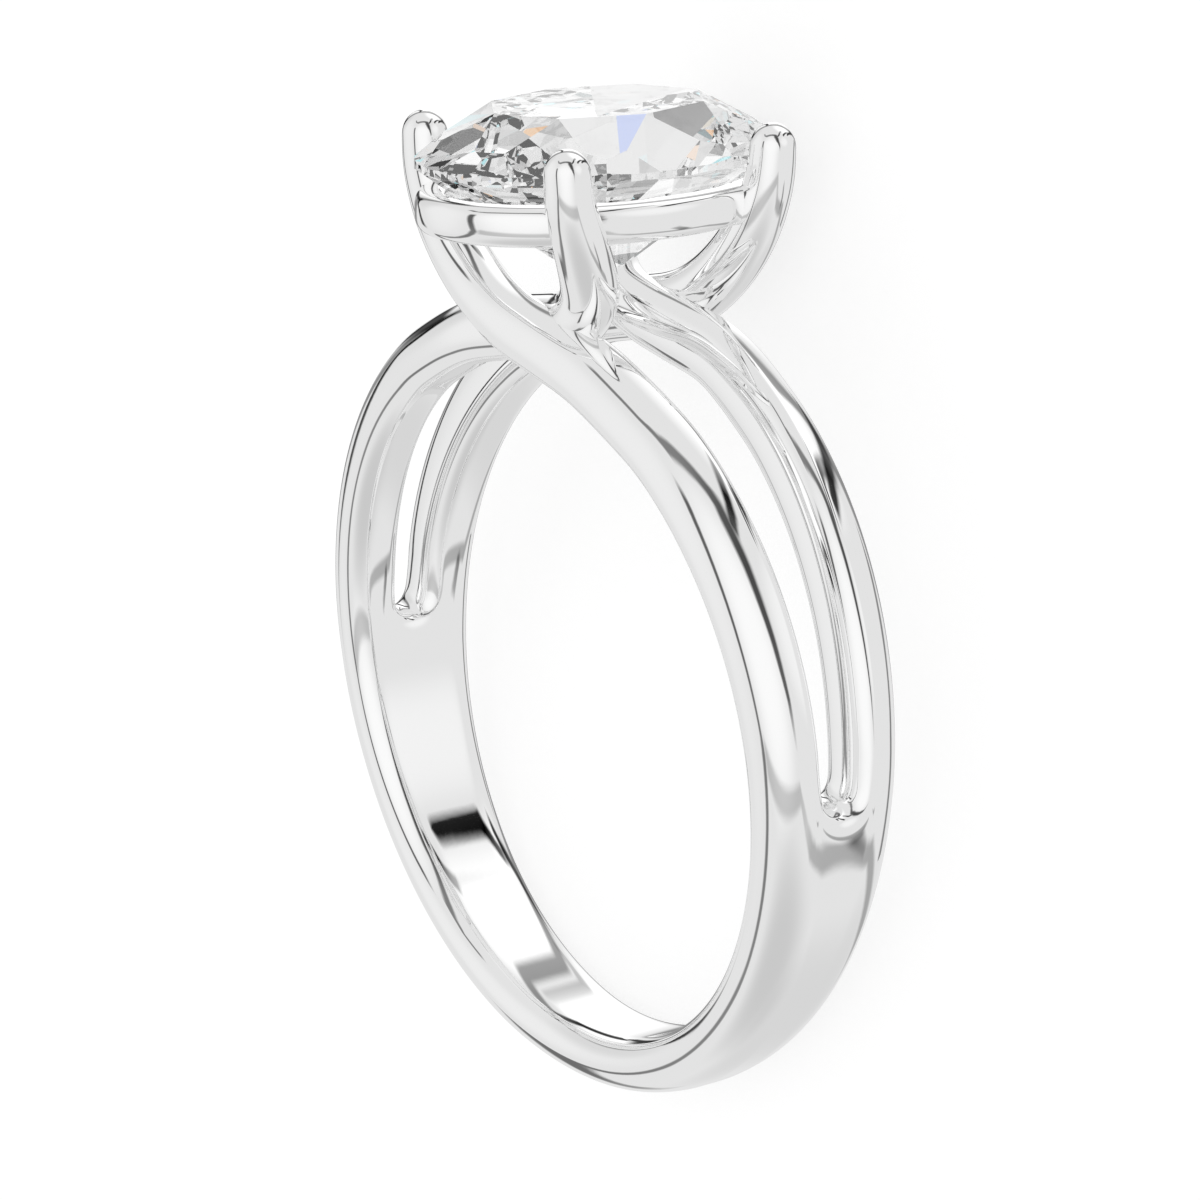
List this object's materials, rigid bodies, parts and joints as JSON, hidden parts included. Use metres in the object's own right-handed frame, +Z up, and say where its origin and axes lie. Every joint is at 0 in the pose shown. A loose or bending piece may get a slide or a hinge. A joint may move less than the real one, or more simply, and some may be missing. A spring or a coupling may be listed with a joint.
{
  "type": "split shank ring",
  "caption": "Finger ring whose shank splits into strands that cross over the finger and rise as claws round an oval stone.",
  "frame": {"origin": "middle of the bounding box at its bottom, on the surface that the ring lies on, on its side", "axes": "+X through the two split sides of the shank; +Y from the foot of the shank to the stone, whose table faces +Y; +Z up from the surface, close to the line of the finger"},
  "size_m": [0.02, 0.0248, 0.0095],
  "materials": {
    "white_metal": "mirror polished white gold, slightly softened on the rounded edges",
    "clear_stone": "colourless transparent stone with polished facets"
  },
  "bodies": {
    "root": {"ring_metal": "white_metal", "oval_stone": "clear_stone"}
  },
  "joints": []
}
